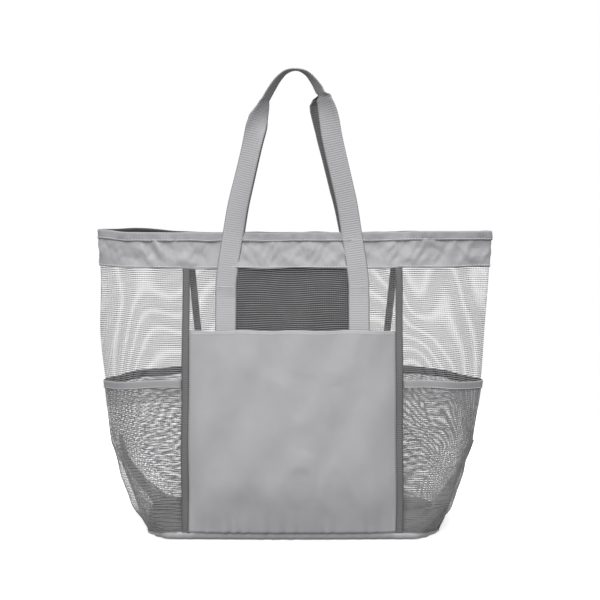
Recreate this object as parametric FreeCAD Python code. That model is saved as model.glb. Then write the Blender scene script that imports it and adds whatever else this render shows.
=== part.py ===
"""Mesh beach tote, millimetres, +Z up, the front faces -Y.

The origin is the middle of the base's underside. The bag stands on a flat rounded rectangular base
and its walls close up to a narrow mouth, so each side panel folds outward along a ridge.
Every wall is a loft between outlines at a few heights, and each outline comes from the same
half-depth and ridge curves, so layers that are sewn together keep their spacing.
"""

import FreeCAD, Part
import math
import os

# Driving dimensions
RIM_HEIGHT = 362.0
BAND_BOTTOM = 320.0
HEM_BOTTOM = 351.0
BASE_HALF_LENGTH = 173.0
BASE_HALF_DEPTH = 68.0
MOUTH_HALF_DEPTH = 11.0
DEPTH_POWER = 1.3
APEX_HEIGHT = 105.0
APEX_HALF_WIDTH = 221.0
MOUTH_HALF_WIDTH = 236.0
RIDGE_HALF_FLAT = 1.5
BASE_CHAMFER = 25.0
CREASE_BULGE = 10.0

# The soft corner between a seam and the ridge: height, x, and share of the half-depth. It starts where
# the base's rounded corner starts, bulges beside the crease, and flattens towards the mouth.
CORNER_STATIONS = [
    (0.0, 148.0, 1.0), (40.0, 184.0, 0.94), (75.0, 196.0, 0.75), (APEX_HEIGHT, 198.0, 0.62),
    (150.0, 191.0, 0.62), (250.0, 187.0, 0.7), (RIM_HEIGHT, 188.0, 0.75),
]

FRONT_SEAM_X = 127.0
BACK_SEAM_BASE_X = 100.0
BACK_SEAM_TOP_X = 125.0
SEAM_GAP = 0.2

# Fabric thicknesses and the clearance between layers
WALL = 1.6
LAYER = 1.2
CLEAR = 0.3
WEBBING = 2.0

CAP = 1.0

TAPE_WIDTH = 8.4
TAPE = 1.0

# The base is a shallow tray with wide soft corners, a little larger than the wall that is sewn into it
BASE_RIM_HEIGHT = 8.5
BASE_CORNER_RADIUS = 16.0
BASE_OVERHANG = 1.0
BASE_FLOOR = 1.8
BASE_BINDING_BOTTOM = 3.0
BASE_BINDING_TOP = 13.0
BASE_BINDING_INSET = 3.4

# Pockets start just above the base and swell to their full depth over their swell rise.
# A shoulder is where a pocket's full depth starts, away from its sewn edges.
POCKET_BOTTOM = 9.2
POCKET_TOP = 246.0
POCKET_BULGE = 12.0
POCKET_SHOULDER_SHARE = 0.8
POCKET_SHOULDER_X = 100.0
POCKET_SWELL_RISE = 60.0
SIDE_POCKET_TOP = 188.0
SIDE_POCKET_BULGE = 12.0
SIDE_POCKET_CORNER_BULGE = 11.0
SIDE_POCKET_FRONT_X = 150.0
SIDE_POCKET_BACK_X = 144.0
SIDE_POCKET_SWELL_RISE = 90.0
SIDE_BINDING_HEIGHT = 9.0
SIDE_BINDING_RISE = 0.6
INNER_POCKET_HALF_WIDTH = 74.0
INNER_POCKET_SHOULDER = 16.0
INNER_POCKET_BOTTOM = 150.0
INNER_POCKET_TOP = 330.0
INNER_POCKET_BULGE = 9.0
INNER_POCKET_SWELL_RISE = 20.0

PATCH_LEFT_X = -23.4
PATCH_RIGHT_X = 18.6
PATCH_BOTTOM = 324.0
PATCH_TOP = 349.0
PATCH = 1.4

HINGE_HEIGHT = 299.0
STRAP_WIDTH = 25.0
STRAP_X = 79.5
STRAP_END_BOTTOM = 222.0

MESH_LEVELS = [BASE_RIM_HEIGHT + SEAM_GAP, 35.0, 70.0, APEX_HEIGHT, 150.0, 200.0, 250.0, 290.0, BAND_BOTTOM]
BAND_LEVELS = [BAND_BOTTOM + SEAM_GAP, 340.0, RIM_HEIGHT]


def half_depth(z):
    """Half the bag's depth at the front and back panels."""
    share = 1.0 - (z / RIM_HEIGHT) ** DEPTH_POWER
    return MOUTH_HALF_DEPTH + (BASE_HALF_DEPTH - MOUTH_HALF_DEPTH) * share


def corner(z):
    """The soft corner's x and half-depth at a height."""
    for (z0, x0, share0), (z1, x1, share1) in zip(CORNER_STATIONS, CORNER_STATIONS[1:]):
        if z <= z1:
            break
    t = (z - z0) / (z1 - z0)
    return x0 + (x1 - x0) * t, (share0 + (share1 - share0) * t) * half_depth(z)


def ridge(z):
    """The outermost x, and half the width of the flat facet there, which narrows up to the apex."""
    if z < APEX_HEIGHT:
        t = z / APEX_HEIGHT
        x = BASE_HALF_LENGTH + (APEX_HALF_WIDTH - BASE_HALF_LENGTH) * t + CREASE_BULGE * t * (1.0 - t)
        return x, max((BASE_HALF_DEPTH - BASE_CHAMFER) * (1.0 - t), RIDGE_HALF_FLAT)
    t = (RIM_HEIGHT - z) / (RIM_HEIGHT - APEX_HEIGHT)
    return MOUTH_HALF_WIDTH - (MOUTH_HALF_WIDTH - APEX_HALF_WIDTH) * t * t, RIDGE_HALF_FLAT


def back_seam_x(z):
    """The back seams lean together towards the base."""
    return BACK_SEAM_BASE_X + (BACK_SEAM_TOP_X - BACK_SEAM_BASE_X) * z / BAND_BOTTOM


def wall_y(x, seam_x, z):
    """Half-depth of the wall between a seam and the soft corner."""
    corner_x, corner_y = corner(z)
    share = (x - seam_x) / (corner_x - seam_x)
    return half_depth(z) + (corner_y - half_depth(z)) * share


def offset(points, distances):
    """Moves an open line of (x, y) points to its right, each point by its own distance."""
    normals = []
    for (x0, y0), (x1, y1) in zip(points, points[1:]):
        length = math.hypot(x1 - x0, y1 - y0)
        normals.append(((y1 - y0) / length, (x0 - x1) / length))
    before = [normals[0]] + normals
    after = normals + [normals[-1]]
    moved = []
    for (x, y), (ax, ay), (bx, by), distance in zip(points, before, after, distances):
        scale = distance / (1.0 + ax * bx + ay * by)
        moved.append((x + (ax + bx) * scale, y + (ay + by) * scale))
    return moved


def wire(points, z):
    corners = [FreeCAD.Vector(x, y, z) for x, y in points]
    return Part.makePolygon(corners + corners[:1])


def panel(levels, line, inner, outer):
    """A closed sheet along line(z), between two offsets that are numbers or lists from a function."""
    wires = []
    for z in levels:
        points = line(z)
        near = inner(z) if callable(inner) else [inner] * len(points)
        far = outer(z) if callable(outer) else [outer] * len(points)
        outline = offset(points, near) + list(reversed(offset(points, far)))
        wires.append(wire(outline, z))
    return Part.makeLoft(wires, True, True)


def mirrored(line):
    """The same line on the left of the bag."""
    return lambda z: [(-x, y) for x, y in reversed(line(z))]


def turned(line):
    """The same line on the back of the bag."""
    return lambda z: [(-x, -y) for x, y in line(z)]


def front_line(z):
    x = FRONT_SEAM_X - SEAM_GAP
    return [(-x, -half_depth(z)), (x, -half_depth(z))]


def back_line(z):
    x = back_seam_x(z) - SEAM_GAP
    return [(x, half_depth(z)), (-x, half_depth(z))]


def side_line(z):
    """The right side panel, from the front seam round the ridge to the back seam."""
    corner_x, corner_y = corner(z)
    ridge_x, ridge_y = ridge(z)
    return [(FRONT_SEAM_X + SEAM_GAP, -half_depth(z)), (corner_x, -corner_y), (ridge_x, -ridge_y),
            (ridge_x, ridge_y), (corner_x, corner_y), (back_seam_x(z) + SEAM_GAP, half_depth(z))]


def band_line(z):
    """The front half of the mouth, from the left ridge to the right ridge."""
    corner_x, corner_y = corner(z)
    ridge_x, ridge_y = ridge(z)
    right = [(FRONT_SEAM_X, -half_depth(z)), (corner_x, -corner_y), (ridge_x, -ridge_y),
             (ridge_x, -SEAM_GAP)]
    return [(-x, y) for x, y in reversed(right)] + right


def ring_line(z):
    """The whole mouth as a closed line's points."""
    front = band_line(z)[1:-1]
    return front + [(-x, -y) for x, y in front]


def offset_ring(z, distance):
    points = ring_line(z)
    closed = [points[-1]] + points + [points[0]]
    return offset(closed, [distance] * len(closed))[1:-1]


def ring(levels, inner, outer):
    outside = Part.makeLoft([wire(offset_ring(z, outer), z) for z in levels], True, True)
    inside = Part.makeLoft([wire(offset_ring(z, inner), z) for z in levels], True, True)
    return outside.cut(inside)


def mouth_binding():
    """A folded strip over the rim: a skirt outside the bands and a cap over their edge."""
    skirt = ring([HEM_BOTTOM, RIM_HEIGHT + CLEAR], WALL + CLEAR, WALL + CLEAR + LAYER)
    cap_low = wire(offset_ring(RIM_HEIGHT, WALL + CLEAR + LAYER), RIM_HEIGHT + CLEAR)
    hole = wire(offset_ring(RIM_HEIGHT, 0.0), RIM_HEIGHT + CLEAR)
    up = FreeCAD.Vector(0, 0, CAP)
    cap = Part.Face(cap_low).extrude(up).cut(Part.Face(hole).extrude(up))
    return skirt.fuse(cap).removeSplitter()


def tray_outline(inset, bottom, top):
    """A block with the base's outline, drawn in by the inset: a rectangle with wide softened corners."""
    x = BASE_HALF_LENGTH + BASE_OVERHANG - inset
    y = BASE_HALF_DEPTH + BASE_OVERHANG - inset
    cut = BASE_CHAMFER + BASE_OVERHANG * (2.0 - math.sqrt(2.0)) - inset * (2.0 - math.sqrt(2.0))
    quarter = [(x, y - cut), (x - cut, y)]
    half = quarter + [(-px, py) for px, py in reversed(quarter)]
    outline = half + [(-px, -py) for px, py in half]
    block = Part.Face(wire(outline, bottom)).extrude(FreeCAD.Vector(0, 0, top - bottom))
    upright = [edge for edge in block.Edges if abs(edge.tangentAt(edge.FirstParameter).z) > 0.9]
    return block.makeFillet(BASE_CORNER_RADIUS - inset, upright)


def base_panel():
    """The base cloth, turned up all round to its seam."""
    return tray_outline(0.0, 0.0, BASE_RIM_HEIGHT).cut(tray_outline(WALL, BASE_FLOOR, 2 * BASE_RIM_HEIGHT))


def base_seam_binding():
    """The strip that covers the base seam on the inside, clear of the walls as they lean in above it."""
    outside = tray_outline(BASE_BINDING_INSET, BASE_BINDING_BOTTOM, BASE_BINDING_TOP)
    return outside.cut(tray_outline(BASE_BINDING_INSET + LAYER, 0.0, 2 * BASE_BINDING_TOP))


def front_pocket():
    half_width = FRONT_SEAM_X - TAPE_WIDTH / 2 - CLEAR

    def line(z):
        stations = (-half_width, -POCKET_SHOULDER_X, 0.0, POCKET_SHOULDER_X, half_width)
        return [(x, -half_depth(z)) for x in stations]

    def near(z):
        swell = POCKET_BULGE * min((z - POCKET_BOTTOM) / POCKET_SWELL_RISE, 1.0)
        edge = WALL + CLEAR
        shoulder = edge + POCKET_SHOULDER_SHARE * swell
        return [edge, shoulder, edge + swell, shoulder, edge]

    levels = [POCKET_BOTTOM, 40.0, 70.0, APEX_HEIGHT, 150.0, 200.0, POCKET_TOP]
    return panel(levels, line, near, lambda z: [value + LAYER for value in near(z)])


def side_pocket_line(z):
    """The right side pocket's line, from tape to tape round the ridge."""
    front_x = FRONT_SEAM_X + TAPE_WIDTH / 2 + CLEAR
    back_x = back_seam_x(z) + TAPE_WIDTH / 2 + CLEAR
    corner_x, corner_y = corner(z)
    ridge_x, ridge_y = ridge(z)
    front = [(x, -wall_y(x, FRONT_SEAM_X, z)) for x in (front_x, SIDE_POCKET_FRONT_X)]
    back = [(x, wall_y(x, back_seam_x(z), z)) for x in (SIDE_POCKET_BACK_X, back_x)]
    middle = [(corner_x, -corner_y), (ridge_x, -ridge_y), (ridge_x, ridge_y), (corner_x, corner_y)]
    return front + middle + back


def side_pocket_gap(z):
    """How far the side pocket stands off the wall: full at its soft corners, none at the ridge."""
    swell = min((z - POCKET_BOTTOM) / SIDE_POCKET_SWELL_RISE, 1.0)
    half = [0.0, SIDE_POCKET_BULGE, SIDE_POCKET_CORNER_BULGE, SEAM_GAP]
    return [WALL + CLEAR + swell * gap for gap in half + half[::-1]]


def side_pocket(line):
    levels = [POCKET_BOTTOM, 40.0, 70.0, APEX_HEIGHT, 150.0, SIDE_POCKET_TOP]
    return panel(levels, line, side_pocket_gap, lambda z: [gap + LAYER for gap in side_pocket_gap(z)])


def side_pocket_binding(line):
    levels = [SIDE_POCKET_TOP - SIDE_BINDING_HEIGHT, SIDE_POCKET_TOP + SIDE_BINDING_RISE]
    return panel(levels, line, lambda z: [gap + LAYER + CLEAR for gap in side_pocket_gap(z)],
                 lambda z: [gap + 2 * LAYER + CLEAR for gap in side_pocket_gap(z)])


def inner_pocket():
    """A flat pocket inside the front wall, sewn down under the strap ends."""
    edge_x = INNER_POCKET_HALF_WIDTH
    shoulder_x = edge_x - INNER_POCKET_SHOULDER

    def line(z):
        return [(x, -half_depth(z)) for x in (-edge_x, -shoulder_x, shoulder_x, edge_x)]

    def far(z):
        swell = INNER_POCKET_BULGE * min((z - INNER_POCKET_BOTTOM) / INNER_POCKET_SWELL_RISE, 1.0)
        return [-CLEAR, -CLEAR - swell, -CLEAR - swell, -CLEAR]

    full = INNER_POCKET_BOTTOM + INNER_POCKET_SWELL_RISE
    levels = [INNER_POCKET_BOTTOM, full, 200.0, 250.0, 290.0, INNER_POCKET_TOP]
    return panel(levels, line, lambda z: [value - LAYER for value in far(z)], far)


def tape(line):
    return panel(MESH_LEVELS, line, WALL + CLEAR, WALL + CLEAR + TAPE)


def front_tape_line(z):
    return [(FRONT_SEAM_X - TAPE_WIDTH / 2, -half_depth(z)), (FRONT_SEAM_X + TAPE_WIDTH / 2, -half_depth(z))]


def back_tape_line(z):
    x = back_seam_x(z)
    return [(x + TAPE_WIDTH / 2, half_depth(z)), (x - TAPE_WIDTH / 2, half_depth(z))]


def patch_line(z):
    return [(PATCH_LEFT_X, -half_depth(z)), (PATCH_RIGHT_X, -half_depth(z))]


def closure_patch():
    """The front closure patch, on the inside of the top band."""
    return panel([PATCH_BOTTOM, PATCH_TOP], patch_line, -CLEAR - PATCH, -CLEAR)


def strap_end(centre_x):
    """The flat end of a handle, sewn to the outside of the front wall."""
    def line(z):
        return [(centre_x + side * STRAP_WIDTH / 2, -half_depth(z)) for side in (-1.0, 1.0)]

    levels = [STRAP_END_BOTTOM, POCKET_TOP, 272.0, HINGE_HEIGHT - SEAM_GAP]
    return panel(levels, line, WALL + CLEAR, WALL + CLEAR + WEBBING)


# Centre line of the front handle from its right seam to its left seam, with the twist in degrees:
# the legs lie flat to the front, and the top turns its edge to the front.
HANDLE_ROUTE = [
    (79.5, -26.4, HINGE_HEIGHT + SEAM_GAP, 0), (77.3, -23.3, 320.0, 0), (70.6, -17.0, 363.0, 0),
    (65.2, -15.8, 396.6, 0), (58.7, -15.5, 425.0, 0), (51.9, -15.2, 453.5, 4), (45.9, -15.0, 481.0, 12),
    (43.5, -14.8, 496.0, 22), (40.5, -14.7, 510.0, 40), (37.0, -14.6, 522.0, 58), (31.5, -14.6, 531.5, 66),
    (25.0, -14.5, 541.5, 74), (16.5, -14.5, 550.5, 82), (5.0, -14.5, 554.0, 90), (-7.0, -14.5, 551.5, 82),
    (-16.0, -14.5, 544.0, 76), (-23.5, -14.6, 533.5, 71), (-30.0, -14.6, 522.0, 64),
    (-36.0, -14.7, 509.0, 50), (-41.0, -14.8, 496.0, 28), (-45.9, -15.0, 481.0, 14),
    (-51.9, -15.2, 453.5, 4), (-58.7, -15.5, 425.0, 0), (-65.2, -15.8, 396.6, 0), (-70.6, -17.0, 363.0, 0),
    (-77.3, -23.3, 320.0, 0), (-79.5, -26.4, HINGE_HEIGHT + SEAM_GAP, 0),
]


def handle():
    """The free loop of webbing as a twisted flat strip through the route's stations. Its two feet are cut
    level, so that they meet the sewn ends squarely."""
    points = [FreeCAD.Vector(x, y, z) for x, y, z, _ in HANDLE_ROUTE]
    toward_front = FreeCAD.Vector(0, -1, 0)
    wires = []
    for index, (x, y, z, twist) in enumerate(HANDLE_ROUTE):
        if index == 0:
            along = FreeCAD.Vector(0, 0, 1)
        elif index == len(points) - 1:
            along = FreeCAD.Vector(0, 0, -1)
        else:
            chord = points[index + 1] - points[index - 1]
            along = FreeCAD.Vector(chord.x, 0, chord.z).normalize()
        flat = along.cross(toward_front)
        deep = along.cross(flat)
        angle = math.radians(twist)
        across = flat * math.cos(angle) - deep * math.sin(angle)
        face = across.cross(along)
        side = across * (STRAP_WIDTH / 2)
        thick = face * (WEBBING / 2)
        centre = points[index]
        corners = [centre - side - thick, centre + side - thick, centre + side + thick, centre - side + thick]
        wires.append(Part.makePolygon(corners + corners[:1]))
    return Part.makeLoft(wires, True, True)


def to_the_back(shape):
    """The mirror image of a piece, on the back of the bag."""
    return shape.mirror(FreeCAD.Vector(0, 0, 0), FreeCAD.Vector(0, 1, 0))


def build():
    front_handle = handle()
    front_patch = closure_patch()
    return {
        "base_panel": base_panel(),
        "base_seam_binding": base_seam_binding(),
        "front_center_mesh": panel(MESH_LEVELS, front_line, 0.0, WALL),
        "back_center_mesh": panel(MESH_LEVELS, back_line, 0.0, WALL),
        "right_side_mesh": panel(MESH_LEVELS, side_line, 0.0, WALL),
        "left_side_mesh": panel(MESH_LEVELS, mirrored(side_line), 0.0, WALL),
        "front_top_band": panel(BAND_LEVELS, band_line, 0.0, WALL),
        "back_top_band": panel(BAND_LEVELS, turned(band_line), 0.0, WALL),
        "mouth_binding": mouth_binding(),
        "front_pocket_panel": front_pocket(),
        "inner_pocket_panel": inner_pocket(),
        "right_side_pocket_mesh": side_pocket(side_pocket_line),
        "left_side_pocket_mesh": side_pocket(mirrored(side_pocket_line)),
        "right_side_pocket_binding": side_pocket_binding(side_pocket_line),
        "left_side_pocket_binding": side_pocket_binding(mirrored(side_pocket_line)),
        "front_right_seam_tape": tape(front_tape_line),
        "front_left_seam_tape": tape(mirrored(front_tape_line)),
        "back_right_seam_tape": tape(back_tape_line),
        "back_left_seam_tape": tape(mirrored(back_tape_line)),
        "front_closure_patch": front_patch,
        "back_closure_patch": to_the_back(front_patch),
        "front_right_strap_end": strap_end(STRAP_X),
        "front_left_strap_end": strap_end(-STRAP_X),
        "back_right_strap_end": to_the_back(strap_end(STRAP_X)),
        "back_left_strap_end": to_the_back(strap_end(-STRAP_X)),
        "front_handle": front_handle,
        "back_handle": to_the_back(front_handle),
    }


os.makedirs("parts", exist_ok=True)
for name, shape in build().items():
    solid = shape.Solids[0]
    solid.exportStep("parts/" + name + ".step")
    print(name, "solids", len(shape.Solids), "valid", solid.isValid(), "volume", round(solid.Volume))
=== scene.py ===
"""The looks of a mesh beach tote, in metres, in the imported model's own frame.

All the bag's cloth lies on one wall surface, which goes once round the bag. A place on it is given by
q, the distance along the cloth from the middle of the front, and by its height z. Every net, band,
pocket, tape and stitch is laid on that wall at its own distance from it, so the layers stay apart.
"""

import math

import bpy
import numpy as np
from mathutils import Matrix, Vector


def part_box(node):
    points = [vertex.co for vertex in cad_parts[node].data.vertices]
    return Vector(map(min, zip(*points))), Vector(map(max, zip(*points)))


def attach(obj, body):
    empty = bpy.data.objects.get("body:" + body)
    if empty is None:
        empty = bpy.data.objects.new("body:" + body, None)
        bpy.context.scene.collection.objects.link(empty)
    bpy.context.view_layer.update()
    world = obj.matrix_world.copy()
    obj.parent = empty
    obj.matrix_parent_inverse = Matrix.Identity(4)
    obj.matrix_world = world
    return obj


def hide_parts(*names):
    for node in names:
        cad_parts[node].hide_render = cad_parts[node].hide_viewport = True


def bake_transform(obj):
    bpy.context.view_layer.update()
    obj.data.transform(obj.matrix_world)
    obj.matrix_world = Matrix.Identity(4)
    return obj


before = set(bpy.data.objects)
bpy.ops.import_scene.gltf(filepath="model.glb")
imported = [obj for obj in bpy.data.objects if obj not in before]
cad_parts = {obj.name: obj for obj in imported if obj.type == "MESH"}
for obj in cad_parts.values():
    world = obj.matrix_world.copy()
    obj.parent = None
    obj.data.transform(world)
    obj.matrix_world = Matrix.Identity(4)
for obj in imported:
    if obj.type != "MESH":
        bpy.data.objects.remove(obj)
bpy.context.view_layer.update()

# ---- sizes from the frame

base_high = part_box("base_panel")[1]
band_low, band_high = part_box("front_top_band")
hem_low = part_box("mouth_binding")[0]
pocket_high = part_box("front_pocket_panel")[1]
side_pocket_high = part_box("right_side_pocket_mesh")[1]
side_binding_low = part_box("right_side_pocket_binding")[0]
front_tape_low, front_tape_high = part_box("front_right_seam_tape")
inner_low, inner_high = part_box("inner_pocket_panel")
patch_low, patch_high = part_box("front_closure_patch")
strap_low, strap_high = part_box("front_right_strap_end")

RIM = band_high.z
BAND_BOTTOM = band_low.z
HEM_BOTTOM = hem_low.z
BASE_RIM = base_high.z
POCKET_TOP = pocket_high.z
SIDE_POCKET_TOP = side_pocket_high.z
SIDE_BINDING_BOTTOM = side_binding_low.z
SEAM_X = (front_tape_low.x + front_tape_high.x) / 2
TAPE_WIDTH = front_tape_high.x - front_tape_low.x
STRAP_X = (strap_low.x + strap_high.x) / 2
STRAP_WIDTH = strap_high.x - strap_low.x
STRAP_BOTTOM = strap_low.z
HINGE = strap_high.z

# ---- the wall's shape

MOUTH_HALF_DEPTH = 0.011
BASE_HALF_DEPTH = 0.068
DEPTH_POWER = 1.3
APEX_HEIGHT = 0.105
APEX_HALF_WIDTH = 0.2235
RIGHT_MOUTH_HALF_WIDTH = 0.2415
LEFT_MOUTH_HALF_WIDTH = 0.2350
LEFT_FULLNESS = 0.004
BASE_HALF_LENGTH = 0.1735
RIDGE_HALF_FLAT = 0.0015
BASE_CHAMFER = 0.025
FRONT_CREASE_BULGE = -0.008
LEFT_BACK_CREASE_BULGE = 0.010
RIGHT_BACK_CREASE_BULGE = 0.0
BACK_SEAM_BASE_X = 0.100
BACK_SEAM_TOP_X = 0.125
FRONT_BELLY = 0.002

# The soft corner between a seam and the ridge: height, x, and share of the half-depth
CORNER_STATIONS = np.array([
    (0.0, 0.148, 1.0), (0.040, 0.184, 0.94), (0.075, 0.196, 0.75), (APEX_HEIGHT, 0.198, 0.62),
    (0.150, 0.191, 0.62), (0.250, 0.187, 0.70), (RIM, 0.188, 0.75), (2 * RIM, 0.188, 0.75),
])

SIDE_WIDTH = 0.226
FRONT_SEAM_Q = SEAM_X
BACK_SEAM_Q = FRONT_SEAM_Q + SIDE_WIDTH
RIDGE_Q = FRONT_SEAM_Q + SIDE_WIDTH / 2
GIRTH = 4 * RIDGE_Q
WALL_STEP = 0.004
WALL_TOP = RIM + 0.012

# Distances of the cloth layers outward from the wall
NET_OUT = 0.0008
BAND_OUT = 0.0017
TAPE_OUT = 0.0022
POCKET_OUT = 0.0028
STRAP_OUT = 0.0029
CLOTH_THICKNESS = 0.0007
SIDE_BINDING_OUT = 0.0011    # beyond the side pocket's net

TAPE_RIB_PITCH = 0.0024
RIB_PITCH = 0.0027


def half_depth(z):
    share = 1.0 - (z / RIM) ** DEPTH_POWER
    return MOUTH_HALF_DEPTH + (BASE_HALF_DEPTH - MOUTH_HALF_DEPTH) * share


def side_outline(z, back_bulge=LEFT_BACK_CREASE_BULGE, mouth_half_width=LEFT_MOUTH_HALF_WIDTH,
                 fullness=LEFT_FULLNESS):
    """Corner points of a side panel at a height, from the front seam to the back seam, at x above 0."""
    corner_x = np.interp(z, CORNER_STATIONS[:, 0], CORNER_STATIONS[:, 1])
    corner_y = np.interp(z, CORNER_STATIONS[:, 0], CORNER_STATIONS[:, 2]) * half_depth(z)
    t = min(z / APEX_HEIGHT, 1.0)
    crease_x = BASE_HALF_LENGTH + (APEX_HALF_WIDTH - BASE_HALF_LENGTH) * t
    crease_y = max((BASE_HALF_DEPTH - BASE_CHAMFER) * (1.0 - t), RIDGE_HALF_FLAT)
    fall = max((RIM - z) / (RIM - APEX_HEIGHT), 0.0)
    ridge_x = crease_x
    if z > APEX_HEIGHT:
        ridge_x = mouth_half_width - (mouth_half_width - APEX_HALF_WIDTH) * fall ** 2
        ridge_x += fullness * math.sin(math.pi * fall)
    arch = t * (1.0 - t)
    back_x = BACK_SEAM_BASE_X + (BACK_SEAM_TOP_X - BACK_SEAM_BASE_X) * z / BAND_BOTTOM
    depth = half_depth(z)
    front_crease = (ridge_x + FRONT_CREASE_BULGE * arch, -crease_y)
    back_crease = (ridge_x + back_bulge * arch, crease_y)
    return np.array([(SEAM_X, -depth), (corner_x, -corner_y), front_crease, back_crease,
                     (corner_x, corner_y), (back_x, depth)])


def along_outline(points):
    """The share of the way along a line of points, at each of them."""
    run = np.concatenate([[0.0], np.cumsum(np.hypot(*np.diff(points, axis=0).T))])
    return run / run[-1]


def ripple(q, z, seed, turns, rises, count=14):
    """Smooth random waves, whole in number round the girth. turns is waves round it, rises is per metre."""
    rng = np.random.RandomState(seed)
    total = np.zeros(np.broadcast(q, z).shape)
    for _ in range(count):
        around = rng.randint(turns[0], turns[1] + 1)
        upward = rng.uniform(rises[0], rises[1])
        phase = rng.uniform(0.0, 2 * math.pi)
        total += np.sin(2 * math.pi * (around * q / GIRTH + upward * z) + phase)
    return total / math.sqrt(count)


def crumple(q, z, seed, size, count=7):
    """Sharp-edged creases, as in stiff thin nylon: triangle waves in random directions, bent by a ripple."""
    rng = np.random.RandomState(seed)
    total = np.zeros(np.broadcast(q, z).shape)
    bend = 0.5 * ripple(q, z, seed + 1, (6, 16), (-12, 12))
    for _ in range(count):
        angle = rng.uniform(-1.1, 1.1)
        length = size * rng.uniform(0.7, 1.7)
        place = (q * math.cos(angle) + z * math.sin(angle)) / length + rng.uniform()
        place = place + bend * rng.uniform(0.3, 1)
        total += np.abs((place % 1.0) - 0.5) * 4 - 1
    return total / math.sqrt(count)


def smooth_step(value, low, high):
    t = np.clip((value - low) / (high - low), 0.0, 1.0)
    return t * t * (3 - 2 * t)


def wall_outline(z, q):
    """The wall's (x, y) at a height, for an array of q that goes once round."""
    right_side = side_outline(z, RIGHT_BACK_CREASE_BULGE, RIGHT_MOUTH_HALF_WIDTH, 0.0)
    left_side = side_outline(z)
    right_run, left_run = along_outline(right_side), along_outline(left_side)
    depth, back_x = half_depth(z), right_side[-1][0]
    wrapped = (q + FRONT_SEAM_Q) % GIRTH - FRONT_SEAM_Q
    x, y = np.empty(len(q)), np.empty(len(q))
    front = wrapped < FRONT_SEAM_Q
    x[front] = wrapped[front]
    y[front] = -depth - FRONT_BELLY * (1 - (wrapped[front] / FRONT_SEAM_Q) ** 2)
    right = (wrapped >= FRONT_SEAM_Q) & (wrapped < BACK_SEAM_Q)
    t = (wrapped[right] - FRONT_SEAM_Q) / SIDE_WIDTH
    x[right], y[right] = np.interp(t, right_run, right_side[:, 0]), np.interp(t, right_run, right_side[:, 1])
    left_start = BACK_SEAM_Q + 2 * FRONT_SEAM_Q
    back = (wrapped >= BACK_SEAM_Q) & (wrapped < left_start)
    t = (wrapped[back] - BACK_SEAM_Q) / (2 * FRONT_SEAM_Q)
    x[back], y[back] = back_x * (1 - 2 * t), depth + FRONT_BELLY * (1 - (1 - 2 * t) ** 2)
    left = wrapped >= left_start
    t = 1.0 - (wrapped[left] - left_start) / SIDE_WIDTH
    x[left], y[left] = -np.interp(t, left_run, left_side[:, 0]), np.interp(t, left_run, left_side[:, 1])
    return np.stack([x, y], axis=-1)


def folded_q(q):
    """q measured on the right half, for the same place on either half."""
    wrapped = np.asarray(q) % GIRTH
    return np.minimum(wrapped, GIRTH - wrapped)


def wall_ripples(q, z):
    """How far the cloth stands off its smooth shape: slow waves in the nets, creases in the band,
    and small puckers at the base seam."""
    in_band = smooth_step(z, BAND_BOTTOM - 0.012, BAND_BOTTOM + 0.004)
    slow = 0.0012 * ripple(q, z, 3, (5, 16), (-9, 9)) * smooth_step(z, 0.01, 0.06)
    creases = 0.0008 * ripple(q, z, 5, (9, 30), (-16, 16))
    puckers = 0.0008 * ripple(q, z, 8, (44, 90), (-4, 4)) * np.exp(-np.abs(z - BASE_RIM) / 0.014)
    return slow * (1 - 0.6 * in_band) + creases * in_band + puckers


def rim_lift(q, z):
    """The rim rises towards its ends, and sags a little at the back. Its edge is slightly uneven."""
    place = folded_q(q)
    at_back, on_left = place > RIDGE_Q, (q % GIRTH) > GIRTH / 2
    place = np.where(at_back, 2 * RIDGE_Q - place, place)
    left = np.where(at_back, -0.0014 + 0.0050 * smooth_step(place, 0.105, 0.190),
                    0.0036 * smooth_step(place, 0.200, RIDGE_Q))
    right = 0.0014 * smooth_step(place, 0.07, 0.15)
    right = right - 0.0014 * at_back * (1 - smooth_step(place, 0.20, RIDGE_Q))
    rise = np.where(on_left, left, right) + 0.0002 * ripple(q, 0 * z, 12, (4, 18), (0, 0))
    return rise * smooth_step(z, 0.27, RIM - 0.01)


def make_wall():
    """Grids of the wall's points and outward normals, rows by height and columns round the bag."""
    columns = int(round(GIRTH / WALL_STEP))
    rows = int(round(WALL_TOP / WALL_STEP)) + 1
    q = np.arange(columns) * WALL_STEP - FRONT_SEAM_Q
    z = np.arange(rows) * WALL_STEP
    points = np.empty((rows, columns, 3))
    kernel = np.exp(-0.5 * (np.arange(-4, 5) / 1.3) ** 2)
    kernel /= kernel.sum()
    for row, height in enumerate(z):
        outline = wall_outline(height, q)
        ringed = np.concatenate([outline[-4:], outline, outline[:4]])
        for axis in range(2):
            points[row, :, axis] = np.convolve(ringed[:, axis], kernel, mode="valid")
        points[row, :, 2] = height + rim_lift(q, height + 0 * q)
    for step in range(2):
        around = np.roll(points, -1, axis=1) - np.roll(points, 1, axis=1)
        upward = np.gradient(points, axis=0)
        normals = np.cross(around, upward)
        normals /= np.linalg.norm(normals, axis=2, keepdims=True)
        if step == 0:
            points = points + normals * wall_ripples(q[None, :], z[:, None])[..., None]
    return points, normals


WALL, WALL_NORMALS = make_wall()


def from_grid(grid, q, z):
    """The grid's value at q and z, between its samples."""
    rows, columns = grid.shape[:2]
    u = ((q + FRONT_SEAM_Q) / WALL_STEP) % columns
    v = np.clip(z / WALL_STEP, 0, rows - 1.001)
    i, j = v.astype(int), u.astype(int)
    a, b = (v - i)[..., None], (u - j)[..., None]
    right = (j + 1) % columns
    low = grid[i, j] * (1 - b) + grid[i, right] * b
    high = grid[i + 1, j] * (1 - b) + grid[i + 1, right] * b
    return low * (1 - a) + high * a


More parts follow.
